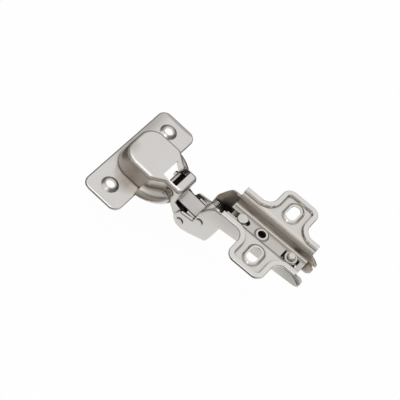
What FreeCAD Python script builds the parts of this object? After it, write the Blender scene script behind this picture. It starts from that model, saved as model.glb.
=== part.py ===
import FreeCAD, Part
import math
import os

# Cranked concealed hinge: 35 mm cup, two links, cranked arm and cross mounting plate.
# Millimetres. X runs along the arm from the plate to the cup, Y along the pivot pins and wings,
# Z out of the plate's panel side. The origin is midway between the two plate slots on the
# face that lies on the cabinet panel. The hinge stands open at 95 degrees.

V = FreeCAD.Vector

# Pivot axes in the X-Z plane
PIN_1 = (39.8, -29.9)
PIN_2 = (31.2, -20.2)
PIN_A = (51.2, -18.6)
PIN_B = (54.45, -21.43)
RUN = 0.05
PIN_R = 1.5
STUB_R = 1.25

# Mounting plate
PL_SHEET = 1.2
PL_FRONT = 23.3
PL_REAR = -19.3
RIM_Y = 10.82
WING_Y = 25.9
WING_X = 9.85
WING_R = 4.6
WING_FILLET = 5.2
BORDER_W = 2.45
BORDER_H = 1.3
BORDER_SLOPE = 0.6
CH_IN = 5.45
CH_TOP_R = 3.8
CH_LOW_R = 1.5
FLOOR_Z = -7.8
SLOT_PITCH = 32.0
SLOT_L = 8.9
SLOT_W = 5.1
SLOT_LIP = 1.55
SLOT_RISE = 0.85

# Cranked arm
ARM_SHEET = 1.2
ARM_OUT = 8.15
ARM_IN = ARM_OUT - ARM_SHEET
HEAD_H = 0.55

# Cup
CUP_TILT = 4.9
CUP_X = 73.6
CUP_Z = -22.8
CUP_SHEET = 0.95
CUP_DEPTH = 11.4
DOME_ROUND = 2.4
FLANGE_HALF = 31.6
FLANGE_IN = -11.6
FLANGE_OUT = 10.0
FLANGE_T = 1.3
FLANGE_R = 4.6
HOLE_PITCH = 45.0
HOLE_R = 2.2
HOLE_CONE = 4.3
HOLE_RISE = 1.1
CUP_C = -9.5
CUP_R = 17.5
NECK_HALF = 7.15
NECK_TIP = -27.8
SKIRT_H = 4.1
SKIRT_LOW = 0.1
RIDGE_R = 13.1

# Links
TONGUE_HALF = 4.6
WIDE_HALF = 6.0
LINK_GAP = 0.3
Q_SHEET = 1.0
Q_IN = TONGUE_HALF + LINK_GAP
Q_OUT = Q_IN + Q_SHEET
CURL_T = 2.0
ROLL_WALL = 0.6
ROLL_R = 1.6
ROLL_OFF = 2.15
ROLL_UP = 0.2
P_EYE_TOP = (-0.1, 0.1)
P_EYE_END = (-0.45, -1.8)
P_EYE_IN = PIN_R + 0.6
P_EYE_OUT = P_EYE_IN + 1.1
P_EYE_Y = -2.55
WIDE_FROM = PIN_2[0] + 3.7
WIDE_LEN = 4.4
WIDE_TO = WIDE_FROM + WIDE_LEN

# Screws
OV_X = 15.8
FIX_X = -12.5
FIX_R = 1.9
SPRING_TURN = 206.7


def corner_path(pts):
    # pts: (u, w, radius). Gives tangent points and arc middles of a rounded closed outline.
    out = []
    n = len(pts)
    for i in range(n):
        u0, w0 = pts[i - 1][0], pts[i - 1][1]
        u1, w1, r = pts[i]
        u2, w2 = pts[(i + 1) % n][0], pts[(i + 1) % n][1]
        a = (u0 - u1, w0 - w1)
        b = (u2 - u1, w2 - w1)
        la = math.hypot(a[0], a[1])
        lb = math.hypot(b[0], b[1])
        a = (a[0] / la, a[1] / la)
        b = (b[0] / lb, b[1] / lb)
        if r <= 0:
            out.append(((u1, w1), None, (u1, w1)))
            continue
        c = max(-1.0, min(1.0, a[0] * b[0] + a[1] * b[1]))
        half = math.acos(c) / 2.0
        d = r / math.tan(half)
        h = (a[0] + b[0], a[1] + b[1])
        lh = math.hypot(h[0], h[1])
        h = (h[0] / lh, h[1] / lh)
        k = r / math.sin(half)
        cen = (u1 + h[0] * k, w1 + h[1] * k)
        mid = (cen[0] - h[0] * r, cen[1] - h[1] * r)
        t1 = (u1 + a[0] * d, w1 + a[1] * d)
        t2 = (u1 + b[0] * d, w1 + b[1] * d)
        out.append((t1, mid, t2))
    return out


def outline(pts, place):
    path = corner_path(pts)
    edges = []
    n = len(path)
    for i in range(n):
        t1, mid, t2 = path[i]
        if mid is not None:
            edges.append(Part.Arc(place(*t1), place(*mid), place(*t2)).toShape())
        nxt = path[(i + 1) % n][0]
        if math.hypot(nxt[0] - t2[0], nxt[1] - t2[1]) > 1e-6:
            edges.append(Part.makeLine(place(*t2), place(*nxt)))
    return Part.Wire(edges)


def prism_y(pts, y0, y1):
    w = outline(pts, lambda x, z: V(x, y0, z))
    return Part.Face(w).extrude(V(0, y1 - y0, 0))


def prism_z(pts, z0, z1):
    w = outline(pts, lambda x, y: V(x, y, z0))
    return Part.Face(w).extrude(V(0, 0, z1 - z0))


def prism_x(pts, x0, x1):
    w = outline(pts, lambda y, z: V(x0, y, z))
    return Part.Face(w).extrude(V(x1 - x0, 0, 0))


def loft_z(low, z0, high, z1):
    a = outline(low, lambda x, y: V(x, y, z0))
    b = outline(high, lambda x, y: V(x, y, z1))
    return Part.makeLoft([a, b], True, True)


def box(x0, x1, y0, y1, z0, z1):
    return Part.makeBox(x1 - x0, y1 - y0, z1 - z0, V(x0, y0, z0))


def cyl_y(c, r, y0, y1):
    return Part.makeCylinder(r, y1 - y0, V(c[0], y0, c[1]), V(0, 1, 0))


def cyl_z(x, y, r, z0, z1):
    return Part.makeCylinder(r, z1 - z0, V(x, y, z0), V(0, 0, 1))


def cone_z(x, y, r0, r1, z0, z1):
    return Part.makeCone(r0, r1, z1 - z0, V(x, y, z0), V(0, 0, 1))


def mirror_pts(half):
    # half: corners with positive second coordinate, in order. Adds the mirrored ones.
    return half + [(u, -w, r) for (u, w, r) in reversed(half)]


def offset_line(pts, d):
    # Moves an open polyline sideways by d with mitred corners.
    out = []
    n = len(pts)
    for i in range(n):
        dirs = []
        if i > 0:
            dirs.append((pts[i][0] - pts[i - 1][0], pts[i][1] - pts[i - 1][1]))
        if i < n - 1:
            dirs.append((pts[i + 1][0] - pts[i][0], pts[i + 1][1] - pts[i][1]))
        nn = []
        for v in dirs:
            m = math.hypot(v[0], v[1])
            nn.append((-v[1] / m, v[0] / m))
        if len(nn) == 1:
            out.append((pts[i][0] + nn[0][0] * d, pts[i][1] + nn[0][1] * d))
        else:
            s = (nn[0][0] + nn[1][0], nn[0][1] + nn[1][1])
            k = 1.0 + nn[0][0] * nn[1][0] + nn[0][1] * nn[1][1]
            out.append((pts[i][0] + s[0] * d / k, pts[i][1] + s[1] * d / k))
    return out


def fuse(shapes):
    s = shapes[0].fuse(shapes[1:])
    return s.removeSplitter()


def edges_at(shape, test):
    found = []
    for e in shape.Edges:
        b = e.BoundBox
        if test(e, b):
            found.append(e)
    return found


def riveted_pin(c, r, y_wall, head_r, head_h):
    # A plain pin between two walls with a low domed head upset outside each wall.
    pin = cyl_y(c, r, -y_wall - head_h, y_wall + head_h)
    parts = [pin]
    for s in (-1, 1):
        y0 = s * y_wall
        y1 = s * (y_wall + head_h)
        head = cyl_y(c, head_r, min(y0, y1), max(y0, y1))
        rim = edges_at(head, lambda e, b: abs(b.YMin - y1) < 1e-4 and abs(b.YMax - y1) < 1e-4)
        parts.append(head.makeFillet(head_h * 0.5, rim))
    return fuse(parts)


# Mounting plate
def plate_outline(grow):
    # Cross outline. grow moves the long sides out (plus) or in (minus); the ends stay open.
    w = WING_X + grow
    ro = max(0.6, WING_R + grow)
    ri = max(0.6, WING_FILLET - grow)
    half = [
        (PL_FRONT, RIM_Y + grow, 0),
        (w, RIM_Y + grow, ri),
        (w, WING_Y + grow, ro),
        (-w, WING_Y + grow, ro),
        (-w, RIM_Y + grow, ri),
        (PL_REAR, RIM_Y + grow, 0),
    ]
    return mirror_pts(half)


def pocket_outline(grow, ends):
    pts = plate_outline(grow)
    out = []
    for (x, y, r) in pts:
        if x > PL_FRONT - 0.01:
            x = PL_FRONT + ends
        if x < PL_REAR + 0.01:
            x = PL_REAR - ends
        out.append((x, y, r))
    return out


def slot_pts(y, length, width):
    r = width / 2.0 - 0.01
    h = length / 2.0
    w = width / 2.0
    return [(w, y + h, r), (-w, y + h, r), (-w, y - h, r), (w, y - h, r)]


def make_plate():
    low = -BORDER_H - PL_SHEET
    body = prism_z(plate_outline(0.0), low, 0.0)
    rim_edges = edges_at(body, lambda e, b: b.ZMin > -0.001 and (b.YMin > 8.3 or b.YMax < -8.3))
    rim_edges = [e for e in rim_edges if e.BoundBox.XLength > 0.01]
    body = body.makeFillet(0.5, rim_edges)
    pocket = loft_z(pocket_outline(-BORDER_W - BORDER_SLOPE, 1.0), -BORDER_H,
                    pocket_outline(-BORDER_W + 0.05, 1.0), 0.02)
    body = body.cut(pocket)
    under = prism_z(pocket_outline(2.0, 1.0), low - 1.0, -PL_SHEET)
    keep = prism_z(pocket_outline(-BORDER_W + 0.35, 3.0), low - 2.0, 0.0)
    body = body.cut(under.cut(keep))
    # Channel pressed down between the rims, with wide bends that run out into the wings
    o = CH_IN + PL_SHEET
    fl = FLOOR_Z
    t = PL_SHEET
    top = -BORDER_H
    span = CH_IN + CH_TOP_R + 0.02
    inner = [(-span, top, 0), (-CH_IN, top, CH_TOP_R), (-CH_IN, fl, CH_LOW_R),
             (CH_IN, fl, CH_LOW_R), (CH_IN, top, CH_TOP_R), (span, top, 0)]
    outer = [(span, top - t, 0), (o, top - t, CH_TOP_R - t), (o, fl - t, CH_LOW_R + t),
             (-o, fl - t, CH_LOW_R + t), (-o, top - t, CH_TOP_R - t), (-span, top - t, 0)]
    body = body.cut(box(PL_REAR - 1, PL_FRONT + 1, -o, o, -3, 1))
    hat = prism_x(inner + outer, PL_REAR, PL_FRONT)
    body = fuse([body, hat])
    above = inner + [(span, top + 0.01, 0), (-span, top + 0.01, 0)]
    mouth = prism_x(above, PL_REAR - 1, PL_FRONT + 1)
    body = body.cut(mouth.common(prism_z(pocket_outline(-BORDER_W - BORDER_SLOPE, 1.5), -20.0, 1.0)))
    # Screw slots with pressed-up lips
    for s in (-1, 1):
        y = s * SLOT_PITCH / 2.0
        foot = 2.0 * SLOT_LIP + 1.0
        lip = loft_z(slot_pts(y, SLOT_L + foot, SLOT_W + foot), top - 0.02,
                     slot_pts(y, SLOT_L + SLOT_LIP, SLOT_W + SLOT_LIP), top + SLOT_RISE)
        ring = edges_at(lip, lambda e, b: b.ZMin > top + SLOT_RISE - 0.001)
        lip = lip.makeFillet(0.45, ring)
        body = fuse([body, lip])
        sink = loft_z(slot_pts(y, SLOT_L + 2.6, SLOT_W + 2.6), top - t - 0.02,
                      slot_pts(y, SLOT_L, SLOT_W), top - 0.1)
        body = body.cut(sink)
        body = body.cut(prism_z(slot_pts(y, SLOT_L, SLOT_W), top - t - 1, top + 2))
    # Open slot for the overlay screw's neck
    body = body.cut(prism_z([(PL_FRONT + 1, 1.7, 0), (11.6, 1.7, 1.65), (11.6, -1.7, 1.65),
                             (PL_FRONT + 1, -1.7, 0)], fl - t - 1, fl + 1))
    # Boss hole
    body = fuse([body, cone_z(4.46, 0, 3.75, 2.9, fl - 0.01, fl + 0.65)])
    body = body.cut(cone_z(4.46, 0, 3.0, 2.05, fl - t - 0.01, fl - 0.25))
    body = body.cut(cyl_z(4.46, 0, 2.05, fl - t - 1, fl + 2))
    # Window for the clamping nut
    win = [(-8.2, 2.6, 0.7), (-16.8, 2.6, 0.7), (-16.8, -2.6, 0.7), (-8.2, -2.6, 0.7)]
    body = body.cut(prism_z(win, fl - t - 1, fl + 1))
    return body.removeSplitter()


# Cranked arm
WEB_LINE = [(-23.3, -11.5), (-9.9, -12.8), (12.3, -13.7), (21.3, -14.8), (22.1, -18.9), (23.3, -25.5),
            (24.5, -30.1), (33.2, -33.9)]


def make_arm():
    wall = [(-23.3, -11.5, 0.8), (-9.9, -12.8, 0), (12.3, -13.7, 0), (21.3, -14.8, 0.8), (22.1, -18.9, 0),
            (23.3, -25.5, 0), (24.5, -30.1, 1.2), (33.2, -33.9, 4), (37.4, -35.2, 3), (41.3, -34.6, 2.5),
            (44.1, -31.3, 1.2), (43.3, -27.9, 3.5), (41.6, -23.9, 1.4), (34.3, -22.9, 1.0), (33.2, -14.6, 4.0),
            (30.2, -8.1, 6), (27.8, -4.15, 3), (24.1, -4.15, 0), (24.1, -3.8, 0.15), (-18.2, -4.4, 1.6),
            (-21.6, -6.4, 1.6), (-23.6, -8.6, 0.9)]
    body = prism_y(wall, -ARM_OUT, ARM_OUT)
    low = []
    for e in body.Edges:
        b = e.BoundBox
        side = abs(abs(b.YMin) - ARM_OUT) < 1e-4 and b.YLength < 1e-4
        on_web = b.ZMax < -11.0 and b.XMax < 33.5 and b.XMin < 24.6
        if side and on_web:
            mid = e.valueAt((e.FirstParameter + e.LastParameter) / 2.0)
            near = 9.0
            for i in range(len(WEB_LINE) - 1):
                p = WEB_LINE[i]
                q = WEB_LINE[i + 1]
                dx = q[0] - p[0]
                dz = q[1] - p[1]
                s = ((mid.x - p[0]) * dx + (mid.z - p[1]) * dz) / (dx * dx + dz * dz)
                s = max(0.0, min(1.0, s))
                near = min(near, math.hypot(mid.x - p[0] - s * dx, mid.z - p[1] - s * dz))
            if near < 0.5:
                low.append(e)
    body = body.makeFillet(1.1, low)
    inner = offset_line(WEB_LINE, ARM_SHEET)
    hollow = [(-30.0, inner[0][1], 0)] + [(x, z, 0.5) for (x, z) in inner[1:-1]]
    hollow = hollow + [(34.0, inner[-1][1] + 0.1, 0), (34.0, -38.0, 0), (50.0, -38.0, 0),
                       (50.0, 5.0, 0), (-30.0, 5.0, 0)]
    body = body.cut(prism_y(hollow, -ARM_IN, ARM_IN))
    # The walls' inner top edges are coined to clear the plate's bends
    coin = [(6.0, -5.2, 0), (ARM_IN, -5.2, 0), (ARM_OUT - 0.15, -3.75, 0),
            (ARM_OUT - 0.15, -1.0, 0), (6.0, -1.0, 0)]
    body = body.cut(prism_x(coin, -26, 25.6))
    body = body.cut(prism_x([(-y, z, r) for (y, z, r) in reversed(coin)], -26, 25.6))
    # Open slot for the fixing screw, with rounded tines
    slot = [(-26.0, 4.0, 0), (-23.9, 4.0, 0), (-21.8, 2.1, 1.6), (-9.4, 2.1, 2.05), (-9.4, -2.1, 2.05),
            (-21.8, -2.1, 1.6), (-23.9, -4.0, 0), (-26.0, -4.0, 0)]
    body = body.cut(prism_z(slot, -16, -9.6))
    tine = prism_z([(-20.0, 6.7, 0), (-23.4, 6.7, 1.7), (-23.4, 1.0, 0), (-20.0, 1.0, 0)], -16, -10.4)
    for s in (-1, 1):
        edge = box(-26.0, -21.9, min(2.0 * s, 10.0 * s), max(2.0 * s, 10.0 * s), -16, -10.4)
        keep = tine.mirror(V(0, 0, 0), V(0, 1, 0)) if s < 0 else tine
        body = body.cut(edge.cut(keep))
    body = body.cut(cyl_z(OV_X, 0, 3.2, -17, -9))
    for c in (PIN_1, PIN_2):
        body = body.cut(cyl_y(c, PIN_R, -12, 12))
    return body.removeSplitter()


# Cup
def place_cup(shape):
    s = shape.copy()
    s.rotate(V(0, 0, 0), V(0, 1, 0), -CUP_TILT)
    s.translate(V(CUP_X, 0, CUP_Z))
    return s


def cup_local(c):
    t = math.radians(CUP_TILT)
    dx = c[0] - CUP_X
    dz = c[1] - CUP_Z
    return (dx * math.cos(t) + dz * math.sin(t), -dx * math.sin(t) + dz * math.cos(t))


def dome_top(g):
    return mirror_pts([(6.3 - g, 11.7 - g, 8.0 - g), (-12.3 + 0.3 * g, 11.7 - g, 4.0 - g),
                       (-18.3 + 0.3 * g, NECK_HALF - g, 3.5 + g), (NECK_TIP + g, NECK_HALF - g, 2.6 - g)])


def dome_foot(g):
    return mirror_pts([(8.0 - g, 13.1 - g, 9.2 - g), (-13.0 + 0.3 * g, 13.1 - g, 4.2 - g),
                       (-20.0 + 0.3 * g, NECK_HALF - g, 3.5 + g), (NECK_TIP - 0.2 + g, NECK_HALF - g, 2.6 - g)])


def skirt_form(r_low, h_low, r_top, h_top, bulge):
    # A round crescent form: a convex wall from the 35 mm circle up to the ridge
    dr = r_low - r_top
    dh = h_top - h_low
    m = math.hypot(dr, dh)
    mid = V(CUP_C + (r_low + r_top) / 2.0 + bulge * dh / m, 0, (h_low + h_top) / 2.0 + bulge * dr / m)
    p0 = V(CUP_C, 0, h_low)
    p1 = V(CUP_C + r_low, 0, h_low)
    p2 = V(CUP_C + r_top, 0, h_top)
    p3 = V(CUP_C, 0, h_top)
    wall = Part.Arc(p1, mid, p2).toShape()
    face = Part.Face(Part.Wire([Part.makeLine(p0, p1), wall, Part.makeLine(p2, p3), Part.makeLine(p3, p0)]))
    return face.revolve(V(CUP_C, 0, 0), V(0, 0, 1), 360)


def make_cup():
    flange = prism_z([(FLANGE_OUT, FLANGE_HALF, FLANGE_R), (FLANGE_IN, FLANGE_HALF, FLANGE_R),
                      (FLANGE_IN, -FLANGE_HALF, FLANGE_R), (FLANGE_OUT, -FLANGE_HALF, FLANGE_R)], -FLANGE_T, 0)
    flange = flange.makeFillet(0.8, edges_at(flange, lambda e, b: b.ZMin > -0.001))
    dome = loft_z(dome_foot(0.0), -0.4, dome_top(0.0), CUP_DEPTH)
    dome = dome.makeFillet(DOME_ROUND, edges_at(dome, lambda e, b: b.ZMin > CUP_DEPTH - 0.001))
    skirt = skirt_form(CUP_R, SKIRT_LOW, RIDGE_R, SKIRT_H, 1.15)
    skirt = skirt.common(box(-30, FLANGE_IN + 0.4, -20, 20, -5, 10))
    body = fuse([flange, dome, skirt])
    for s in (-1, 1):
        y = s * HOLE_PITCH / 2.0
        body = fuse([body, cone_z(0, y, HOLE_CONE, HOLE_R + 0.55, -0.01, HOLE_RISE)])
        body = body.cut(cone_z(0, y, HOLE_CONE - 0.6, HOLE_R, -FLANGE_T - 0.01, HOLE_RISE - 1.15))
        body = body.cut(cyl_z(0, y, HOLE_R, -3, 3))
    g = CUP_SHEET
    hollow = loft_z(dome_foot(g), -FLANGE_T - 1.0, dome_top(g), CUP_DEPTH - g)
    hollow = hollow.makeFillet(0.7, edges_at(hollow, lambda e, b: b.ZMin > CUP_DEPTH - g - 0.001))
    body = body.cut(hollow)
    # Crescents beside the neck, hollow under their roof
    cres = skirt_form(CUP_R - g, SKIRT_LOW, RIDGE_R - 0.6 * g, SKIRT_H - g, 1.0)
    cres = fuse([cres, Part.makeCylinder(CUP_R - g, 4.0, V(CUP_C, 0, SKIRT_LOW - 4.0), V(0, 0, 1))])
    side = box(-30, FLANGE_IN, NECK_HALF, 20, -5, 10).fuse(box(-30, FLANGE_IN, -20, -NECK_HALF, -5, 10))
    body = body.cut(cres.common(side))
    # Window over the link's curl
    window = [(-14.9, 5.6, 0.5), (-23.2, 5.6, 0.5), (-23.2, -5.6, 0.5), (-14.9, -5.6, 0.5)]
    body = body.cut(prism_z(window, 9, 13))
    # Open end under the tip for the link
    body = body.cut(box(-30, -25.2, -NECK_HALF + g, NECK_HALF - g, -4, 7.5))
    mouth = [(-31, -5, 0), (-24.6, -5, 0), (-25.3, 0.6, 1.5), (-28.6, 3.9, 0), (-31, 3.9, 0)]
    body = body.cut(prism_y(mouth, -12, 12))
    # Dished seats for the front pin's heads
    a, h = cup_local(PIN_A)
    for s in (-1, 1):
        seat = Part.makeCone(2.85, 1.75, 0.55, V(a, s * (NECK_HALF + 0.01), h), V(0, -s, 0))
        body = body.cut(seat)
    body = body.cut(Part.makeCylinder(PIN_R, 30, V(a, -15, h), V(0, 1, 0)))
    a, h = cup_local(PIN_B)
    body = body.cut(Part.makeCylinder(STUB_R, 2 * NECK_HALF + 0.1, V(a, -NECK_HALF - 0.05, h), V(0, 1, 0)))
    return place_cup(body.removeSplitter())


# Outer link: a gooseneck plate, curled round the front cup pin, eye on the rear arm pin


def eye_slot(r):
    # A slot outline about the rear arm pin, wide enough for the link's play
    x0 = PIN_2[0] + P_EYE_TOP[0]
    z0 = PIN_2[1] + P_EYE_TOP[1]
    x1 = PIN_2[0] + P_EYE_END[0]
    z1 = PIN_2[1] + P_EYE_END[1]
    m = math.hypot(x1 - x0, z1 - z0)
    u = ((x1 - x0) / m, (z1 - z0) / m)
    n = (-u[1], u[0])
    k = r - 0.01
    return [(x0 - u[0] * r + n[0] * r, z0 - u[1] * r + n[1] * r, k),
            (x1 + u[0] * r + n[0] * r, z1 + u[1] * r + n[1] * r, k),
            (x1 + u[0] * r - n[0] * r, z1 + u[1] * r - n[1] * r, k),
            (x0 - u[0] * r - n[0] * r, z0 - u[1] * r - n[1] * r, k)]


def make_outer_link():
    ax, az = PIN_A
    curl_r = PIN_R + RUN + CURL_T
    eye_a = cyl_y(PIN_A, PIN_R + RUN + ROLL_WALL, -TONGUE_HALF, TONGUE_HALF)
    roll = cyl_y((ax + ROLL_OFF, az + ROLL_UP), ROLL_R, -TONGUE_HALF, TONGUE_HALF)
    curl = eye_a.fuse(roll)
    neck = [(ax - 1.0, az - curl_r + 0.1, 0), (46.3, -23.0, 3), (34.6, -24.45, 1.2), (34.0, -21.0, 0),
            (30.0, -21.0, 0), (30.6, -26.3, 3.0), (46.9, -25.0, 3), (ax + 0.9, az - curl_r + 0.1, 0),
            (ax + 0.9, az, 0), (ax - 1.0, az, 0)]
    slab = prism_y(neck, -WIDE_HALF, WIDE_HALF)
    narrow = box(WIDE_TO, 60.0, TONGUE_HALF, 12, -40, 0).fuse(box(WIDE_TO, 60.0, -12, -TONGUE_HALF, -40, 0))
    body = slab.cut(narrow)
    eye = prism_y(eye_slot(P_EYE_OUT), P_EYE_Y, WIDE_HALF)
    body = fuse([body, curl, eye])
    # Room for the spring beside the eye
    body = body.cut(box(20.0, WIDE_FROM, -10, P_EYE_Y, -30, 0))
    body = body.cut(prism_y(eye_slot(P_EYE_IN), -12, 12))
    body = body.cut(cyl_y(PIN_A, PIN_R + RUN, -12, 12))
    long_edges = edges_at(body, lambda e, b: abs(abs(b.YMin) - WIDE_HALF) < 1e-4 and b.YLength < 1e-4
                          and b.XMin > WIDE_FROM - 0.3 and b.XMax < WIDE_TO + 0.1 and b.XLength > 2.0)
    body = body.makeFillet(0.6, long_edges)
    return body.removeSplitter()


# Inner link: two side plates joined by a web at the bottom
def make_inner_link():
    side = [(52.6, -21.1, 1.0), (46.8, -23.7, 2), (43.9, -25.2, 1), (41.4, -26.0, 0.8), (40.4, -27.2, 1.0),
            (37.4, -27.3, 2.0), (36.3, -30.2, 2.5), (37.4, -33.4, 2.0), (41.6, -34.9, 3.0), (43.9, -33.4, 1.6),
            (45.8, -30.7, 1), (48.7, -26.7, 2), (55.4, -23.9, 1.5), (56.9, -22.2, 1.2), (56.4, -19.6, 1.5),
            (53.7, -19.2, 0.9)]
    body = prism_y(side, -Q_OUT, Q_OUT)
    web_cut = [(30, -40, 0), (41.4, -40, 0), (41.4, -34.0, 0), (42.6, -33.2, 0.6), (44.7, -30.2, 0.6),
               (47.2, -26.6, 0.5), (47.6, -25.6, 0.5), (49.6, -26.6, 0), (60, -32, 0), (60, -10, 0), (30, -10, 0)]
    body = body.cut(prism_y(web_cut, -Q_IN, Q_IN))
    body = body.cut(cyl_y(PIN_1, PIN_R + RUN, -12, 12))
    body = body.cut(cyl_y(PIN_B, STUB_R + RUN, -12, 12))
    return body.removeSplitter()


# Torsion spring on the rear arm pin
def make_spring():
    wire = 0.48
    coil_r = PIN_R + 0.15 + wire
    pitch = 1.06
    turns = 2.6
    y0 = -6.15
    helix = Part.makeHelix(pitch, pitch * turns, coil_r)
    circ = Part.Wire(Part.makeCircle(wire, V(coil_r, 0, 0), V(0, 1, 0)))
    coil = Part.Wire(helix).makePipeShell([circ], True, True)
    end_angle = 360.0 * turns
    parts = [coil]
    # Leg 1 leaves the first turn, leg 2 the last one
    p0 = V(coil_r, 0, 0)
    parts.append(Part.makeCylinder(wire, 8.0, p0, V(0, -1, 0)))
    ea = math.radians(end_angle)
    p1 = V(coil_r * math.cos(ea), coil_r * math.sin(ea), pitch * turns)
    d1 = V(-math.sin(ea), math.cos(ea), 0)
    parts.append(Part.makeCylinder(wire, 6.4, p1, d1))
    balls = [Part.makeSphere(wire * 1.03, p0), Part.makeSphere(wire * 1.03, p1)]
    s = parts[0].fuse(balls).fuse(parts[1:])
    # The coil's own axis is turned to lie along Y
    s.rotate(V(0, 0, 0), V(1, 0, 0), -90)
    s.rotate(V(0, 0, 0), V(0, 1, 0), SPRING_TURN)
    s.translate(V(PIN_2[0], y0, PIN_2[1]))
    return s




def make_cup_pins():
    front = riveted_pin(PIN_A, PIN_R, NECK_HALF - 0.53, 1.65, 0.4)
    stubs = []
    for s in (-1, 1):
        y0 = s * (Q_IN - 0.12)
        y1 = s * (NECK_HALF - 0.02)
        stubs.append(cyl_y(PIN_B, STUB_R, min(y0, y1), max(y0, y1)))
    return front, Part.makeCompound(stubs)


def make_overlay_screw():
    head = cyl_z(OV_X, 0, 2.6, FLOOR_Z + 0.05, FLOOR_Z + 0.95)
    head = head.makeFillet(0.3, edges_at(head, lambda e, b: b.ZMin > FLOOR_Z + 0.9))
    neck = cyl_z(OV_X, 0, 1.4, -10.2, FLOOR_Z + 0.2)
    thread = cyl_z(OV_X, 0, 3.0, -15.9, -9.75)
    thread = thread.makeChamfer(0.4, edges_at(thread, lambda e, b: b.ZLength < 1e-4))
    body = fuse([head, neck, thread])
    for turn in (0, 90):
        arm = box(OV_X - 1.9, OV_X + 1.9, -0.4, 0.4, -17, -14.5)
        arm.rotate(V(OV_X, 0, 0), V(0, 0, 1), turn + 45)
        body = body.cut(arm)
    return body


def make_fixing_screw():
    # The head bears on the arm's web from the room side
    seat = -13.0
    head = cyl_z(FIX_X, 0, 4.1, seat - 2.2, seat)
    head = head.makeFillet(1.1, edges_at(head, lambda e, b: b.ZMax < seat - 2.1))
    shank = cyl_z(FIX_X, 0, FIX_R, seat - 1.0, -4.9)
    shank = shank.makeChamfer(0.35, edges_at(shank, lambda e, b: b.ZMin > -5.0))
    body = fuse([head, shank])
    for turn in (0, 90):
        arm = box(FIX_X - 2.3, FIX_X + 2.3, -0.5, 0.5, seat - 4, seat - 0.9)
        arm.rotate(V(FIX_X, 0, 0), V(0, 0, 1), turn)
        body = body.cut(arm)
    return body


def make_fixing_nut():
    base = FLOOR_Z + 0.03
    ring = cyl_z(FIX_X, 0, 3.2, base, base + 1.5)
    ring = ring.makeFillet(0.35, edges_at(ring, lambda e, b: b.ZMin > base + 1.4))
    spigot = cyl_z(FIX_X, 0, 2.45, FLOOR_Z - PL_SHEET + 0.1, base + 0.1)
    body = fuse([ring, spigot])
    return body.cut(cyl_z(FIX_X, 0, FIX_R + RUN, -12, 0))


os.makedirs("parts", exist_ok=True)
front_pin, rear_stubs = make_cup_pins()
nodes = {
    "mounting_plate": make_plate(),
    "hinge_arm": make_arm(),
    "hinge_cup": make_cup(),
    "outer_link": make_outer_link(),
    "inner_link": make_inner_link(),
    "arm_pin_front": riveted_pin(PIN_1, PIN_R, ARM_OUT, 1.75, HEAD_H),
    "arm_pin_rear": riveted_pin(PIN_2, PIN_R, ARM_OUT, 1.75, HEAD_H),
    "cup_pin_front": front_pin,
    "cup_pin_rear": rear_stubs,
    "closing_spring": make_spring(),
    "overlay_screw": make_overlay_screw(),
    "fixing_screw": make_fixing_screw(),
    "fixing_nut": make_fixing_nut(),
}
for name in nodes:
    shape = nodes[name]
    shape.exportStep("parts/" + name + ".step")
    b = shape.BoundBox
    print("%-16s valid %s solids %d vol %.0f  x %.1f..%.1f y %.1f..%.1f z %.1f..%.1f" % (
        name, shape.isValid(), len(shape.Solids), shape.Volume, b.XMin, b.XMax, b.YMin, b.YMax, b.ZMin, b.ZMax))
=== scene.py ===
import math

import bpy
from mathutils import Matrix, Vector


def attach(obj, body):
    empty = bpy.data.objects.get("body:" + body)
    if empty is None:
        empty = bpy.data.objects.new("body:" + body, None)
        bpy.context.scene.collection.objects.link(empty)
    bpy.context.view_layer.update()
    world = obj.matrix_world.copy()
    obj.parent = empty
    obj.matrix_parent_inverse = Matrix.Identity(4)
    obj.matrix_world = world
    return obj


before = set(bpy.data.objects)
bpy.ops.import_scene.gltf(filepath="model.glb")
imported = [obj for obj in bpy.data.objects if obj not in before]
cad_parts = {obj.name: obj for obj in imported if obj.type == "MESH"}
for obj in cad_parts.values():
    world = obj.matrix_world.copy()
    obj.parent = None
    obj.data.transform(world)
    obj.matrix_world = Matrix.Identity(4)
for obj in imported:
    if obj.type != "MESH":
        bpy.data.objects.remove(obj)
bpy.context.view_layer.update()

MM = 0.001

# Places and sizes taken from the part's source, in metres
PIN_1 = Vector((39.8, 0, -29.9)) * MM
PIN_2 = Vector((31.2, 0, -20.2)) * MM
PIN_A = Vector((51.2, 0, -18.6)) * MM
CUP_ORIGIN = Vector((73.6, 0, -22.8)) * MM
CUP_UP = Vector((-math.sin(math.radians(4.9)), 0, math.cos(math.radians(4.9))))
FIX_X = -12.5 * MM
OVERLAY_X = 15.8 * MM
HOLE_Y = 22.5 * MM
TONGUE_EDGE_Y = 4.6 * MM

# Stage: the floor lies under the lowest point of the shut cup, the boards just over the floor
FLOOR_Z = -45.0 * MM
BOARD_Z = FLOOR_Z + 0.3 * MM
LEFT_BOARD_Z = FLOOR_Z + 0.4 * MM
STAGE_MIDDLE = (0.03, 0, 0)
FLOOR_GLOW = 0.975

# Camera fitted to the photo: its place, its three directions and its focal length in pixels
CAMERA_PLACE = (-0.0515, 0.3487, 0.4711)
CAMERA_RIGHT = Vector((-0.7584, -0.5882, 0.2809))
CAMERA_DOWN = Vector((-0.6349, 0.5693, -0.5223))
CAMERA_AHEAD = Vector((0.1473, -0.5744, -0.8052))
FOCAL_PIXELS = 1300.0
PICTURE_PIXELS = 400.0
SENSOR_WIDTH = 36.0

# Sizes of the finish: grain, haze and pits are noise scales per metre
GRAIN_SCALE = 1500.0
HAZE_SCALE = 85.0
PIT_SCALE = 2600.0
HAZE_FROM = 0.42
HAZE_TO = 0.72
HAZE_DULLING = 0.15
RELIEF_DEPTH = 0.04 * MM
# Painted corner shade: how far the corner test reaches, and the corner values at which the shade is
# full and at which it is none
CORNER_SHADE_REACH = 1.8 * MM
CORNER_SHADE_FULL_AT = 0.45
CORNER_SHADE_NONE_AT = 0.90

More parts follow.
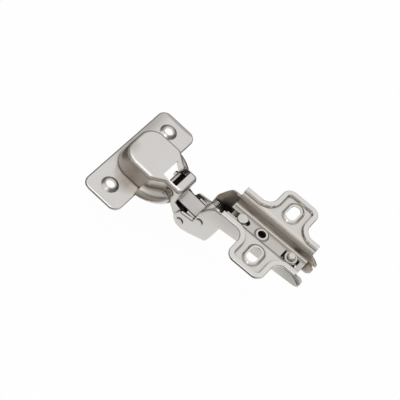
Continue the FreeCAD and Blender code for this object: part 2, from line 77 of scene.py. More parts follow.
# A thread's ridge: its steps in a turn, its root's share of the pitch, and how far its middle
# lies under the shank's face as a share of its depth
THREAD_STEPS = 28
THREAD_ROOT = 0.92
THREAD_SINK = 0.1
# Height and side of a triangle with three equal sides and a circle of radius 1 round it
TRIANGLE_HEIGHT = 1.5
TRIANGLE_SIDE = 1.732


def clear_selection():
    bpy.ops.object.select_all(action="DESELECT")


def add_node(tree, kind, x, y, **values):
    """Adds a shader node. Values set its sockets by name, or else its own settings."""
    node = tree.nodes.new(kind)
    node.location = (x, y)
    for key, value in values.items():
        if key in node.inputs:
            node.inputs[key].default_value = value
        else:
            setattr(node, key, value)
    return node


def satin_plating_group():
    """Nickel plating over pressed steel: drawn grain, pressing haze and fine pits."""
    group = bpy.data.node_groups.new("satin plating", "ShaderNodeTree")
    for name, kind, value in (
        ("Tone", "NodeSocketColor", (0.65, 0.63, 0.60, 1)),
        ("Haze tone", "NodeSocketColor", (0.52, 0.49, 0.46, 1)),
        ("Haze", "NodeSocketFloat", 0.35),
        ("Gloss", "NodeSocketFloat", 0.27),
        ("Grain", "NodeSocketFloat", 0.10),
        ("Grain stretch", "NodeSocketVector", (1.0, 0.12, 1.0)),
        ("Pits", "NodeSocketFloat", 0.4),
    ):
        socket = group.interface.new_socket(name=name, in_out="INPUT", socket_type=kind)
        socket.default_value = value
    for name, kind in (
        ("Color", "NodeSocketColor"),
        ("Roughness", "NodeSocketFloat"),
        ("Height", "NodeSocketFloat"),
    ):
        group.interface.new_socket(name=name, in_out="OUTPUT", socket_type=kind)
    link = group.links.new
    given = add_node(group, "NodeGroupInput", -1100, 0)
    out = add_node(group, "NodeGroupOutput", 700, 0)
    place = add_node(group, "ShaderNodeTexCoord", -1100, -320)
    stretch = add_node(group, "ShaderNodeVectorMath", -880, -260, operation="MULTIPLY")
    link(place.outputs["Object"], stretch.inputs[0])
    link(given.outputs["Grain stretch"], stretch.inputs[1])
    grain = add_node(group, "ShaderNodeTexNoise", -640, -160,
                     Scale=GRAIN_SCALE, Detail=3.0, Roughness=0.6)
    link(stretch.outputs[0], grain.inputs["Vector"])
    haze = add_node(group, "ShaderNodeTexNoise", -640, 160,
                    Scale=HAZE_SCALE, Detail=4.0, Roughness=0.55, Distortion=0.6)
    link(place.outputs["Object"], haze.inputs["Vector"])
    pits = add_node(group, "ShaderNodeTexNoise", -640, -440,
                    Scale=PIT_SCALE, Detail=2.0, Roughness=0.7)
    link(place.outputs["Object"], pits.inputs["Vector"])
    haze_band = add_node(group, "ShaderNodeMapRange", -420, 160)
    haze_band.inputs["From Min"].default_value = HAZE_FROM
    haze_band.inputs["From Max"].default_value = HAZE_TO
    link(haze.outputs["Fac"], haze_band.inputs["Value"])
    haze_part = add_node(group, "ShaderNodeMath", -220, 160, operation="MULTIPLY")
    link(haze_band.outputs["Result"], haze_part.inputs[0])
    link(given.outputs["Haze"], haze_part.inputs[1])
    tone = add_node(group, "ShaderNodeMix", 0, 220, data_type="RGBA")
    link(haze_part.outputs[0], tone.inputs["Factor"])
    link(given.outputs["Tone"], tone.inputs[6])
    link(given.outputs["Haze tone"], tone.inputs[7])
    centred = add_node(group, "ShaderNodeMath", -420, -160, operation="SUBTRACT")
    link(grain.outputs["Fac"], centred.inputs[0])
    centred.inputs[1].default_value = 0.5
    grain_part = add_node(group, "ShaderNodeMath", -220, -160, operation="MULTIPLY")
    link(centred.outputs[0], grain_part.inputs[0])
    link(given.outputs["Grain"], grain_part.inputs[1])
    bright = add_node(group, "ShaderNodeMath", 0, 0, operation="ADD")
    link(grain_part.outputs[0], bright.inputs[0])
    bright.inputs[1].default_value = 1.0
    shade = add_node(group, "ShaderNodeVectorMath", 220, 220, operation="SCALE")
    link(tone.outputs[2], shade.inputs[0])
    link(bright.outputs[0], shade.inputs["Scale"])
    link(shade.outputs[0], out.inputs["Color"])
    rough_add = add_node(group, "ShaderNodeMath", 220, 20, operation="MULTIPLY_ADD")
    link(haze_part.outputs[0], rough_add.inputs[0])
    rough_add.inputs[1].default_value = HAZE_DULLING
    link(given.outputs["Gloss"], rough_add.inputs[2])
    rough = add_node(group, "ShaderNodeMath", 440, 20, operation="ADD", use_clamp=True)
    link(rough_add.outputs[0], rough.inputs[0])
    link(grain_part.outputs[0], rough.inputs[1])
    link(rough.outputs[0], out.inputs["Roughness"])
    pit_part = add_node(group, "ShaderNodeMath", -220, -440, operation="MULTIPLY")
    link(pits.outputs["Fac"], pit_part.inputs[0])
    link(given.outputs["Pits"], pit_part.inputs[1])
    height = add_node(group, "ShaderNodeMath", 0, -300, operation="ADD")
    link(grain_part.outputs[0], height.inputs[0])
    link(pit_part.outputs[0], height.inputs[1])
    link(height.outputs[0], out.inputs["Height"])
    return group


def sheared_edge_group():
    """Mask of the sheared rim of a sheet that stands across Y."""
    group = bpy.data.node_groups.new("sheared edge", "ShaderNodeTree")
    group.interface.new_socket(name="Mask", in_out="OUTPUT", socket_type="NodeSocketFloat")
    link = group.links.new
    place = add_node(group, "ShaderNodeTexCoord", -800, 0)
    parts = add_node(group, "ShaderNodeSeparateXYZ", -600, 0)
    link(place.outputs["Normal"], parts.inputs[0])
    across = add_node(group, "ShaderNodeMath", -400, 0, operation="ABSOLUTE")
    link(parts.outputs["Y"], across.inputs[0])
    band = add_node(group, "ShaderNodeMapRange", -200, 0)
    for key, value in (("From Min", 0.35), ("From Max", 0.85), ("To Min", 1.0), ("To Max", 0.0)):
        band.inputs[key].default_value = value
    link(across.outputs[0], band.inputs["Value"])
    out = add_node(group, "NodeGroupOutput", 0, 0)
    link(band.outputs["Result"], out.inputs["Mask"])
    return group


def patch_mask_group():
    """Mask of a round patch about a pin or hole, measured in the two directions across it."""
    group = bpy.data.node_groups.new("patch mask", "ShaderNodeTree")
    for name, kind, value in (
        ("Pin", "NodeSocketVector", (0.0, 0.0, 0.0)),
        ("Across", "NodeSocketVector", (1.0, 0.0, 1.0)),
        ("Reach", "NodeSocketFloat", 0.002),
        ("Fade", "NodeSocketFloat", 0.0004),
    ):
        socket = group.interface.new_socket(name=name, in_out="INPUT", socket_type=kind)
        socket.default_value = value
    group.interface.new_socket(name="Mask", in_out="OUTPUT", socket_type="NodeSocketFloat")
    link = group.links.new
    given = add_node(group, "NodeGroupInput", -1000, -200)
    place = add_node(group, "ShaderNodeTexCoord", -1000, 100)
    away = add_node(group, "ShaderNodeVectorMath", -800, 0, operation="SUBTRACT")
    link(place.outputs["Object"], away.inputs[0])
    link(given.outputs["Pin"], away.inputs[1])
    flat = add_node(group, "ShaderNodeVectorMath", -600, 0, operation="MULTIPLY")
    link(away.outputs[0], flat.inputs[0])
    link(given.outputs["Across"], flat.inputs[1])
    far = add_node(group, "ShaderNodeVectorMath", -400, 0, operation="LENGTH")
    link(flat.outputs[0], far.inputs[0])
    over = add_node(group, "ShaderNodeMath", -200, 0, operation="SUBTRACT")
    link(far.outputs["Value"], over.inputs[0])
    link(given.outputs["Reach"], over.inputs[1])
    share = add_node(group, "ShaderNodeMath", 0, 0, operation="DIVIDE")
    link(over.outputs[0], share.inputs[0])
    link(given.outputs["Fade"], share.inputs[1])
    mask = add_node(group, "ShaderNodeMath", 200, 0, operation="SUBTRACT", use_clamp=True)
    mask.inputs[0].default_value = 1.0
    link(share.outputs[0], mask.inputs[1])
    out = add_node(group, "NodeGroupOutput", 400, 0)
    link(mask.outputs[0], out.inputs["Mask"])
    return group


def face_band_group():
    """Mask of the faces that look one way, within a band of heights over a base point."""
    group = bpy.data.node_groups.new("face band", "ShaderNodeTree")
    for name, kind, value in (
        ("Facing", "NodeSocketVector", (0.0, 0.0, 1.0)),
        ("Least", "NodeSocketFloat", -2.0),
        ("Full", "NodeSocketFloat", -1.5),
        ("Base", "NodeSocketVector", (0.0, 0.0, 0.0)),
        ("Up", "NodeSocketVector", (0.0, 0.0, 1.0)),
        ("Low", "NodeSocketFloat", -1.0),
        ("High", "NodeSocketFloat", 1.0),
    ):
        socket = group.interface.new_socket(name=name, in_out="INPUT", socket_type=kind)
        socket.default_value = value
    group.interface.new_socket(name="Mask", in_out="OUTPUT", socket_type="NodeSocketFloat")
    link = group.links.new
    given = add_node(group, "NodeGroupInput", -1000, -200)
    place = add_node(group, "ShaderNodeTexCoord", -1000, 200)
    toward = add_node(group, "ShaderNodeVectorMath", -760, 240, operation="DOT_PRODUCT")
    link(place.outputs["Normal"], toward.inputs[0])
    link(given.outputs["Facing"], toward.inputs[1])
    facing = add_node(group, "ShaderNodeMapRange", -560, 240)
    link(toward.outputs["Value"], facing.inputs["Value"])
    link(given.outputs["Least"], facing.inputs["From Min"])
    link(given.outputs["Full"], facing.inputs["From Max"])
    away = add_node(group, "ShaderNodeVectorMath", -760, 0, operation="SUBTRACT")
    link(place.outputs["Object"], away.inputs[0])
    link(given.outputs["Base"], away.inputs[1])
    height = add_node(group, "ShaderNodeVectorMath", -560, 0, operation="DOT_PRODUCT")
    link(away.outputs[0], height.inputs[0])
    link(given.outputs["Up"], height.inputs[1])
    over = add_node(group, "ShaderNodeMath", -340, 60, operation="GREATER_THAN")
    link(height.outputs["Value"], over.inputs[0])
    link(given.outputs["Low"], over.inputs[1])
    under = add_node(group, "ShaderNodeMath", -340, -120, operation="LESS_THAN")
    link(height.outputs["Value"], under.inputs[0])
    link(given.outputs["High"], under.inputs[1])
    band = add_node(group, "ShaderNodeMath", -140, 0, operation="MULTIPLY")
    link(over.outputs[0], band.inputs[0])
    link(under.outputs[0], band.inputs[1])
    mask = add_node(group, "ShaderNodeMath", 60, 100, operation="MULTIPLY", use_clamp=True)
    link(facing.outputs["Result"], mask.inputs[0])
    link(band.outputs[0], mask.inputs[1])
    out = add_node(group, "NodeGroupOutput", 260, 0)
    link(mask.outputs[0], out.inputs["Mask"])
    return group


FACE_BAND = face_band_group()
SHEARED_EDGE = sheared_edge_group()
PATCH_MASK = patch_mask_group()
PLATING = satin_plating_group()


def plated(name, tone, haze_tone, haze, gloss, grain, bump, stretch=(1.0, 0.12, 1.0),
           corner_shade=0.88, corner_shade_tone=(0.05, 0.044, 0.039)):
    """A plated finish with painted shade darkening its corners. Gloss is the roughness before haze
    and grain.
    """
    material = bpy.data.materials.new(name)
    material.use_nodes = True
    tree = material.node_tree
    shader = tree.nodes["Principled BSDF"]
    shader.inputs["Metallic"].default_value = 1.0
    surface = tree.nodes.new("ShaderNodeGroup")
    surface.node_tree = PLATING
    surface.location = (-500, 0)
    for key, value in (
        ("Tone", (*tone, 1)),
        ("Haze tone", (*haze_tone, 1)),
        ("Haze", haze),
        ("Gloss", gloss),
        ("Grain", grain),
        ("Grain stretch", stretch),
    ):
        surface.inputs[key].default_value = value
    # Painted shade: corners and gaps, where shade falls, darken towards the corner shade tone
    corner = add_node(tree, "ShaderNodeAmbientOcclusion", -760, 300, samples=8, Distance=CORNER_SHADE_REACH)
    reach = add_node(tree, "ShaderNodeMapRange", -560, 300)
    for key, value in (
        ("From Min", CORNER_SHADE_FULL_AT),
        ("From Max", CORNER_SHADE_NONE_AT),
        ("To Min", corner_shade),
        ("To Max", 0.0),
    ):
        reach.inputs[key].default_value = value
    tree.links.new(corner.outputs["AO"], reach.inputs["Value"])
    corner_shaded = add_node(tree, "ShaderNodeMix", -260, 160, data_type="RGBA")
    tree.links.new(reach.outputs["Result"], corner_shaded.inputs["Factor"])
    tree.links.new(surface.outputs["Color"], corner_shaded.inputs[6])
    corner_shaded.inputs[7].default_value = (*corner_shade_tone, 1)
    tree.links.new(corner_shaded.outputs[2], shader.inputs["Base Color"])
    tree.links.new(surface.outputs["Roughness"], shader.inputs["Roughness"])
    relief = add_node(tree, "ShaderNodeBump", -220, -260, Strength=bump, Distance=RELIEF_DEPTH)
    tree.links.new(surface.outputs["Height"], relief.inputs["Height"])
    tree.links.new(relief.outputs["Normal"], shader.inputs["Normal"])
    return material


def lay_film(material, mask_group, tone, amount, dull=None, **values):
    """Lays a film of another tone over a plated finish where the mask says; most films here are
    painted shade, painted highlights or painted reflections.

    Where dull is given, the finish takes that roughness under the whole mask.
    """
    tree = material.node_tree
    shader = tree.nodes["Principled BSDF"]
    under = shader.inputs["Base Color"].links[0].from_socket
    film = tree.nodes.new("ShaderNodeGroup")
    film.node_tree = mask_group
    film.location = (-500, 320)
    for key, value in values.items():
        film.inputs[key].default_value = value
    share = add_node(tree, "ShaderNodeMath", -320, 320, operation="MULTIPLY")
    tree.links.new(film.outputs["Mask"], share.inputs[0])
    share.inputs[1].default_value = amount
    mixed = add_node(tree, "ShaderNodeMix", -180, 200, data_type="RGBA")
    tree.links.new(share.outputs[0], mixed.inputs["Factor"])
    tree.links.new(under, mixed.inputs[6])
    mixed.inputs[7].default_value = (*tone, 1)
    tree.links.new(mixed.outputs[2], shader.inputs["Base Color"])
    if dull is not None:
        bare = shader.inputs["Roughness"].links[0].from_socket
        blend = add_node(tree, "ShaderNodeMix", -180, -40, data_type="FLOAT")
        tree.links.new(film.outputs["Mask"], blend.inputs[0])
        tree.links.new(bare, blend.inputs[2])
        blend.inputs[3].default_value = dull
        tree.links.new(blend.outputs[0], shader.inputs["Roughness"])


PLATE_NICKEL = plated("plate nickel", (0.665, 0.642, 0.612), (0.57, 0.54, 0.505),
                      haze=0.22, gloss=0.15, grain=0.025, bump=0.01,
                      corner_shade=0.62, corner_shade_tone=(0.10, 0.09, 0.08))
ARM_NICKEL = plated("arm nickel", (0.665, 0.645, 0.618), (0.58, 0.555, 0.53),
                    haze=0.30, gloss=0.30, grain=0.10, bump=0.05, stretch=(0.25, 1.0, 1.0))
CUP_NICKEL = plated("cup nickel", (0.672, 0.652, 0.628), (0.60, 0.57, 0.54),
                    haze=0.25, gloss=0.20, grain=0.05, bump=0.02, stretch=(1.0, 1.0, 0.3))
LINK_NICKEL = plated("link nickel", (0.585, 0.565, 0.545), (0.48, 0.46, 0.44),
                     haze=0.45, gloss=0.26, grain=0.16, bump=0.06, stretch=(0.15, 1.0, 1.0))
SIDE_LINK_NICKEL = plated("side link nickel", (0.62, 0.60, 0.575), (0.50, 0.475, 0.45),
                          haze=0.4, gloss=0.30, grain=0.12, bump=0.04)
PIN_STEEL = plated("pin steel", (0.63, 0.61, 0.585), (0.50, 0.475, 0.45),
                   haze=0.45, gloss=0.24, grain=0.08, bump=0.03, stretch=(1.0, 0.2, 1.0))
SPRING_WIRE = plated("spring wire", (0.60, 0.58, 0.55), (0.38, 0.36, 0.34),
                     haze=0.5, gloss=0.20, grain=0.10, bump=0.03)
SCREW_NICKEL = plated("screw nickel", (0.69, 0.67, 0.64), (0.55, 0.53, 0.50),
                      haze=0.35, gloss=0.20, grain=0.05, bump=0.02)
NUT_NICKEL = plated("nut nickel", (0.68, 0.66, 0.63), (0.55, 0.52, 0.49),
                    haze=0.4, gloss=0.24, grain=0.08, bump=0.03)

# Tones of the films: painted shade, painted light and painted reflections, save HOLE_CONE, which
# keeps the cones at a plating tone
DEEP_SHADE = (0.006, 0.006, 0.006)
HEAD_SHADE = (0.05, 0.045, 0.04)
SHADE = (0.32, 0.295, 0.27)
RIM_SHADE = (0.03, 0.027, 0.024)
CRANK_WALL_REFLECTION = (0.88, 0.79, 0.70)
BORDER_LIGHT = (0.80, 0.785, 0.765)
CHANNEL_FLOOR_SHADE = (0.40, 0.385, 0.365)
CHANNEL_WALL_SHADE = (0.42, 0.385, 0.345)
STEP_SHADE = (0.30, 0.275, 0.25)
HOLE_RING_SHADE = (0.20, 0.18, 0.16)
HOLE_CONE = (0.66, 0.64, 0.615)
SKIRT_SHADE = (0.33, 0.305, 0.28)
FLANGE_RIM_SHADE = (0.13, 0.115, 0.10)
DOME_WALL_SHADE = (0.68, 0.62, 0.55)
FOOT_HIGHLIGHT = (1.0, 0.97, 0.93)


def finish_links():
    """Painted shade: near-black sheared rims on the inner link, and near black on the outer link's
    eye and tongue edges.
    """
    # Painted shade: the inner link's sheared rims near black
    lay_film(SIDE_LINK_NICKEL, SHEARED_EDGE, RIM_SHADE, 0.97)
    # Painted shade: near black round the outer link's eye at pin A
    lay_film(LINK_NICKEL, PATCH_MASK, DEEP_SHADE, 1.0, Pin=PIN_A, Reach=2.35 * MM, Fade=0.3 * MM)
    # Painted shade: near-black bands along both edges of the tongue
    for side in (-1, 1):
        lay_film(LINK_NICKEL, FACE_BAND, DEEP_SHADE, 0.95, Base=(0.0, side * TONGUE_EDGE_Y, 0.0),
                 Up=(0.0, side, 0.0), Low=-0.55 * MM, High=0.05 * MM)


def finish_arm():
    """Painted shade: dark crescents over the pin heads, a shaded tail and a near-black patch in the
    crank; a painted brown reflection on the crank's far wall.
    """
    # Painted shade: dark crescents over the heads of pins 1 and 2
    for pin in (PIN_1, PIN_2):
        lay_film(ARM_NICKEL, PATCH_MASK, HEAD_SHADE, 0.85, Pin=pin + Vector((-0.07, 0, 0.38)) * MM,
                 Reach=1.85 * MM, Fade=0.25 * MM)
    lay_film(ARM_NICKEL, PATCH_MASK, SHADE, 0.45, Pin=(-19 * MM, 0, -9 * MM),
             Reach=3.0 * MM, Fade=8.0 * MM)
    # Painted reflection: the crank's far wall lighter and browner where it faces +Y
    lay_film(ARM_NICKEL, FACE_BAND, CRANK_WALL_REFLECTION, 0.85, dull=0.40,
             Facing=(0, 1, 0), Least=0.6, Full=0.9,
             Up=(0.0, -1.0, 0.0), Low=6.4 * MM, High=7.4 * MM)
    # Painted shade: a near-black patch on the crank's far wall
    lay_film(ARM_NICKEL, PATCH_MASK, DEEP_SHADE, 0.92, dull=0.5,
             Pin=(25.9 * MM, -7.0 * MM, -18.7 * MM), Across=(1.0, 6.0, 1.0),
             Reach=2.3 * MM, Fade=4.0 * MM)


def finish_plate():
    """Painted light on the border; painted shade on the channel floor, brown painted shade on the
    channel wall, and shade on the far border and slot rims.
    """
    # Painted light: the border lighter than the pocket
    lay_film(PLATE_NICKEL, FACE_BAND, BORDER_LIGHT, 0.30, Low=-0.62 * MM, High=1.0 * MM)
    # Painted shade on the channel floor
    lay_film(PLATE_NICKEL, FACE_BAND, CHANNEL_FLOOR_SHADE, 0.4,
             Facing=(0, 0, 1), Least=0.9, Full=0.98, Low=-8.2 * MM, High=-7.3 * MM)
    # Painted shade: the channel wall brown where it faces +Y
    lay_film(PLATE_NICKEL, FACE_BAND, CHANNEL_WALL_SHADE, 0.8, dull=0.34,
             Facing=(0, 1, 0), Least=0.15, Full=0.45, Low=-7.9 * MM, High=-0.92 * MM)
    lay_film(PLATE_NICKEL, FACE_BAND, STEP_SHADE, 0.8, Facing=(0, 1, 0), Least=0.15, Full=0.45,
             Up=(0.0, -1.0, 0.0), Low=24.0 * MM, High=31.0 * MM)
    lay_film(PLATE_NICKEL, FACE_BAND, STEP_SHADE, 0.6, Facing=(1, 0, 0), Least=0.2, Full=0.5,
             Low=-0.84 * MM, High=-0.02 * MM)


def finish_cup():
    """Painted shade and light: dark rings round the hole cones, brown shade on the skirts, a dark
    rim, shade on the dome wall, a bright foot line and soft shades.
    """
    local = {"Base": CUP_ORIGIN, "Up": CUP_UP}
    for side in (-1, 1):
        # Painted shade: a dark ring round each hole cone; inside it the cone keeps a plating tone
        hole = {"Pin": CUP_ORIGIN + Vector((0, side * HOLE_Y, 0)), "Across": (1, 1, 0)}
        lay_film(CUP_NICKEL, PATCH_MASK, HOLE_RING_SHADE, 0.75,
                 Reach=4.15 * MM, Fade=0.35 * MM, **hole)
        lay_film(CUP_NICKEL, PATCH_MASK, HOLE_CONE, 1.0,
                 Reach=2.9 * MM, Fade=0.4 * MM, **hole)
    # Painted shade: the skirts brown where they face up and towards +Y
    lay_film(CUP_NICKEL, FACE_BAND, SKIRT_SHADE, 0.7, Facing=(-0.1, 0.55, 0.83),
             Least=0.70, Full=0.90, Low=0.2 * MM, High=4.3 * MM, **local)
    # Painted shade: the flange rims dark where they face +X and -Y
    lay_film(CUP_NICKEL, FACE_BAND, FLANGE_RIM_SHADE, 0.9, Facing=(0.704, -0.707, 0.06),
             Least=0.06, Full=0.20, Low=-1.32 * MM, High=0.02 * MM, **local)
    # Painted shade: the dome wall browner where it faces +Y
    lay_film(CUP_NICKEL, FACE_BAND, DOME_WALL_SHADE, 0.6, dull=0.34, Facing=(0.1, 0.99, 0.0),
             Least=0.35, Full=0.75, Low=0.8 * MM, High=10.4 * MM, **local)
    # Painted highlight: a bright line along the dome's foot where it faces up and towards +Y
    lay_film(CUP_NICKEL, FACE_BAND, FOOT_HIGHLIGHT, 0.9, Facing=(0.05, 0.70, 0.70),
             Least=0.86, Full=0.94, Low=-0.2 * MM, High=1.6 * MM, **local)
    # Soft shades: by the dome's foot, on the far strip, on the far end and on the dome's shoulder
    for pin, across, reach, fade, amount in (
        ((69.5, 15.1, -23.2), (1.0, 1.0, 6.0), 1.5, 6.5, 0.72),
        ((83.5, -14.0, -22.0), (1.0, 0.22, 2.5), 2.2, 4.5, 0.62),
        ((71.9, -31.8, -22.9), (0.15, 1.0, 0.5), 2.1, 0.5, 0.72),
        ((78.5, 5.5, -11.4), (1.0, 1.0, 0.4), 0.6, 5.0, 0.60),
    ):
        lay_film(CUP_NICKEL, PATCH_MASK, SHADE, amount, Pin=Vector(pin) * MM, Across=across,
                 Reach=reach * MM, Fade=fade * MM)


FINISH = {
    "mounting_plate": PLATE_NICKEL,
    "hinge_arm": ARM_NICKEL,
    "hinge_cup": CUP_NICKEL,
    "outer_link": LINK_NICKEL,
    "inner_link": SIDE_LINK_NICKEL,
    "arm_pin_front": PIN_STEEL,
    "arm_pin_rear": PIN_STEEL,
    "cup_pin_front": PIN_STEEL,
    "cup_pin_rear": PIN_STEEL,
    "closing_spring": SPRING_WIRE,
    "overlay_screw": SCREW_NICKEL,
    "fixing_screw": SCREW_NICKEL,
    "fixing_nut": NUT_NICKEL,
}


def finish_nodes():
    """Gives every node of the frame its finish."""
    for name, material in FINISH.items():
        node = bpy.data.objects[name]
        if not node.material_slots:
            node.data.materials.append(material)
        for slot in node.material_slots:
            slot.material = material


def screw_thread(name, body, x, radius, depth, pitch, low, high):
    """A three-cornered ridge wound round a plain shank, closed at both ends. Sizes in metres."""
    clear_selection()
    corner = depth / TRIANGLE_HEIGHT
    bpy.ops.mesh.primitive_circle_add(
        vertices=3, radius=corner, fill_type="NOTHING",
        location=(radius - THREAD_SINK * depth, 0, 0), rotation=(math.pi / 2, math.pi / 2, 0))
    ridge = bpy.context.object
    ridge.name = name
    bpy.ops.object.transform_apply(location=True, rotation=True, scale=True)
    bpy.ops.object.mode_set(mode="EDIT")
    bpy.ops.mesh.select_all(action="SELECT")
    stretch = THREAD_ROOT * pitch / (TRIANGLE_SIDE * corner)
    bpy.ops.transform.resize(value=(1, 1, stretch), center_override=(radius, 0, 0))
    bpy.ops.object.mode_set(mode="OBJECT")
    turns = (high - low - pitch) / pitch
    wind = ridge.modifiers.new("wind", "SCREW")
    wind.axis = "Z"
    wind.angle = 2 * math.pi * turns
    wind.screw_offset = pitch * turns
    wind.steps = int(THREAD_STEPS * turns)
    wind.render_steps = wind.steps
    wind.use_smooth_shade = False
    bpy.ops.object.modifier_apply(modifier="wind")
    bpy.ops.object.mode_set(mode="EDIT")
    bpy.ops.mesh.select_all(action="SELECT")
    bpy.ops.mesh.fill_holes(sides=4)
    bpy.ops.mesh.select_all(action="SELECT")
    bpy.ops.mesh.normals_make_consistent(inside=False)
    bpy.ops.transform.translate(value=(x, 0, low + pitch * 0.5))
    bpy.ops.object.mode_set(mode="OBJECT")
    ridge.data.materials.append(SCREW_NICKEL)
    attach(ridge, body)


# The soft tent's axis, and the room's tone by how near a direction is to it
TENT_AXIS = Vector((0.05, -0.30, 0.95)).normalized()
ROOM_TONES = (
    (0.0, (0.47, 0.445, 0.42)),
    (0.28, (0.36, 0.335, 0.315)),
    (0.46, (0.27, 0.25, 0.23)),
    (0.58, (0.62, 0.60, 0.585)),
    (0.67, (0.93, 0.93, 0.93)),
    (1.0, (0.95, 0.95, 0.955)),
)


def studio_floor():
    """A pale floor that the camera and the metal see near white."""
    clear_selection()
    bpy.ops.mesh.primitive_plane_add(size=6.0, location=(0.03, 0, FLOOR_Z))
    floor = bpy.context.object
    floor.name = "studio_floor"
    material = bpy.data.materials.new("white floor")
    material.use_nodes = True
    tree = material.node_tree
    tree.nodes.clear()
    out = add_node(tree, "ShaderNodeOutputMaterial", 500, 0)
    matt = add_node(tree, "ShaderNodeBsdfDiffuse", 0, -120, Color=(0.86, 0.86, 0.86, 1))
    glow = add_node(tree, "ShaderNodeEmission", 0, 120, Color=(1, 1, 1, 1), Strength=1.0)
    path = add_node(tree, "ShaderNodeLightPath", -400, 200)
    mirrored = add_node(tree, "ShaderNodeMath", -200, 200, operation="MAXIMUM")
    tree.links.new(path.outputs["Is Camera Ray"], mirrored.inputs[0])
    tree.links.new(path.outputs["Is Glossy Ray"], mirrored.inputs[1])
    seen = add_node(tree, "ShaderNodeMath", -200, 40, operation="MAXIMUM")
    tree.links.new(mirrored.outputs[0], seen.inputs[0])
    tree.links.new(path.outputs["Is Transmission Ray"], seen.inputs[1])
    share = add_node(tree, "ShaderNodeMath", 0, 260, operation="MULTIPLY")
    tree.links.new(seen.outputs[0], share.inputs[0])
    share.inputs[1].default_value = FLOOR_GLOW
    mixed = add_node(tree, "ShaderNodeMixShader", 260, 0)
    tree.links.new(share.outputs[0], mixed.inputs[0])
    tree.links.new(matt.outputs[0], mixed.inputs[1])
    tree.links.new(glow.outputs[0], mixed.inputs[2])
    tree.links.new(mixed.outputs[0], out.inputs[0])
    floor.data.materials.append(material)


def facing_turn(place, aim):
    """The turn that points an object at place towards aim."""
    return (Vector(aim) - Vector(place)).to_track_quat("-Z", "Y").to_euler()


def soft_lamp(name, place, size, power):
    """A soft lamp that looks at the middle of the stage."""
    light = bpy.data.lights.new(name, "AREA")
    light.shape = "RECTANGLE"
    light.size, light.size_y = size
    light.energy = power
    lamp = bpy.data.objects.new(name, light)
    bpy.context.scene.collection.objects.link(lamp)
    lamp.location = place
    lamp.rotation_euler = facing_turn(place, STAGE_MIDDLE)
    lamp.visible_camera = False


def dark_card(name, place, size, colour):
    """A dark board that lies on the floor for the metal to show."""
    clear_selection()
    bpy.ops.mesh.primitive_plane_add(size=1.0)
    card = bpy.context.object
    card.name = name
    card.rotation_euler = facing_turn(place, (place[0], place[1], 1))
    card.location = place
    card.scale = (size[0], size[1], 1)
    material = bpy.data.materials.new(name)
    material.use_nodes = True
    shader = material.node_tree.nodes["Principled BSDF"]
    shader.inputs["Base Color"].default_value = (*colour, 1)
    shader.inputs["Roughness"].default_value = 1.0
    shader.inputs["Specular IOR Level"].default_value = 0.0
    card.data.materials.append(material)
    card.visible_camera = False
    card.visible_shadow = False
    card.visible_diffuse = False


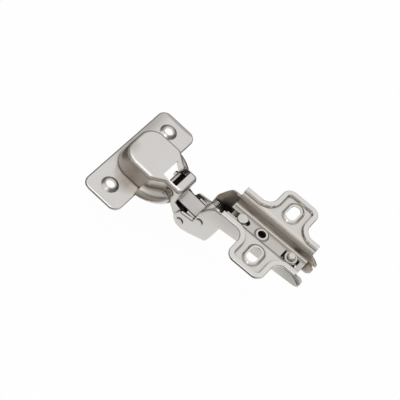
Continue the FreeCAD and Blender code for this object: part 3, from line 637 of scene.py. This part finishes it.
def studio_world():
    """A white tent over the object in a brown-grey room."""
    world = bpy.data.worlds.new("studio")
    bpy.context.scene.world = world
    world.use_nodes = True
    tree = world.node_tree
    tree.nodes.clear()
    out = add_node(tree, "ShaderNodeOutputWorld", 600, 0)
    place = add_node(tree, "ShaderNodeTexCoord", -900, 0)
    near = add_node(tree, "ShaderNodeVectorMath", -700, 0, operation="DOT_PRODUCT")
    tree.links.new(place.outputs["Generated"], near.inputs[0])
    near.inputs[1].default_value = TENT_AXIS
    ramp = add_node(tree, "ShaderNodeValToRGB", -400, 100)
    ramp.color_ramp.interpolation = "EASE"
    stops = ramp.color_ramp.elements
    stops[0].position = 0.0
    stops[0].color = (*ROOM_TONES[0][1], 1)
    stops[1].position = 1.0
    stops[1].color = (*ROOM_TONES[-1][1], 1)
    for where, tone in ROOM_TONES[1:-1]:
        stop = stops.new(where)
        stop.color = (*tone, 1)
    tree.links.new(near.outputs["Value"], ramp.inputs["Fac"])
    sky = add_node(tree, "ShaderNodeBackground", 0, 100, Strength=1.0)
    tree.links.new(ramp.outputs["Color"], sky.inputs["Color"])
    white = add_node(tree, "ShaderNodeBackground", 0, -100, Color=(1, 1, 1, 1), Strength=1.0)
    path = add_node(tree, "ShaderNodeLightPath", -400, 400)
    seen = add_node(tree, "ShaderNodeMath", -200, 300, operation="MAXIMUM")
    tree.links.new(path.outputs["Is Camera Ray"], seen.inputs[0])
    tree.links.new(path.outputs["Is Transmission Ray"], seen.inputs[1])
    mixed = add_node(tree, "ShaderNodeMixShader", 300, 0)
    tree.links.new(seen.outputs[0], mixed.inputs[0])
    tree.links.new(sky.outputs[0], mixed.inputs[1])
    tree.links.new(white.outputs[0], mixed.inputs[2])
    tree.links.new(mixed.outputs[0], out.inputs[0])


def camera():
    """The photo's view."""
    data = bpy.data.cameras.new("camera")
    data.sensor_fit = "HORIZONTAL"
    data.sensor_width = SENSOR_WIDTH
    data.lens = SENSOR_WIDTH * FOCAL_PIXELS / PICTURE_PIXELS
    data.clip_start = 0.01
    data.clip_end = 20.0
    cam = bpy.data.objects.new("camera", data)
    bpy.context.scene.collection.objects.link(cam)
    turn = Matrix((CAMERA_RIGHT, -CAMERA_DOWN, -CAMERA_AHEAD)).transposed()
    cam.matrix_world = Matrix.Translation(CAMERA_PLACE) @ turn.to_4x4()
    bpy.context.scene.camera = cam


finish_links()
finish_arm()
finish_plate()
finish_cup()
finish_nodes()
screw_thread("fixing_screw_thread", "fixing_screw", x=FIX_X, radius=1.9 * MM,
             depth=0.22 * MM, pitch=0.7 * MM, low=-12.4 * MM, high=-5.1 * MM)
screw_thread("overlay_screw_thread", "overlay_screw", x=OVERLAY_X, radius=3.0 * MM,
             depth=0.14 * MM, pitch=0.8 * MM, low=-15.4 * MM, high=-10.1 * MM)

studio_floor()
soft_lamp("softbox_overhead", (0.13, 0.16, 0.92), (0.70, 0.50), 0.60)
soft_lamp("glint_lamp", (0.05, 0.50, 0.78), (0.20, 0.20), 0.17)
soft_lamp("strip_lamp", (0.16, 0.74, 0.49), (0.90, 0.14), 0.26)
dark_card("front_board", (0.03, 0.245, BOARD_Z), (0.9, 0.40), (0.18, 0.16, 0.142))
dark_card("back_board", (0.03, -0.234, BOARD_Z), (0.9, 0.40), (0.16, 0.14, 0.125))
dark_card("left_board", (0.295, 0.0, LEFT_BOARD_Z), (0.40, 0.9), (0.18, 0.16, 0.14))
studio_world()
camera()
bpy.context.scene.view_settings.view_transform = "Standard"
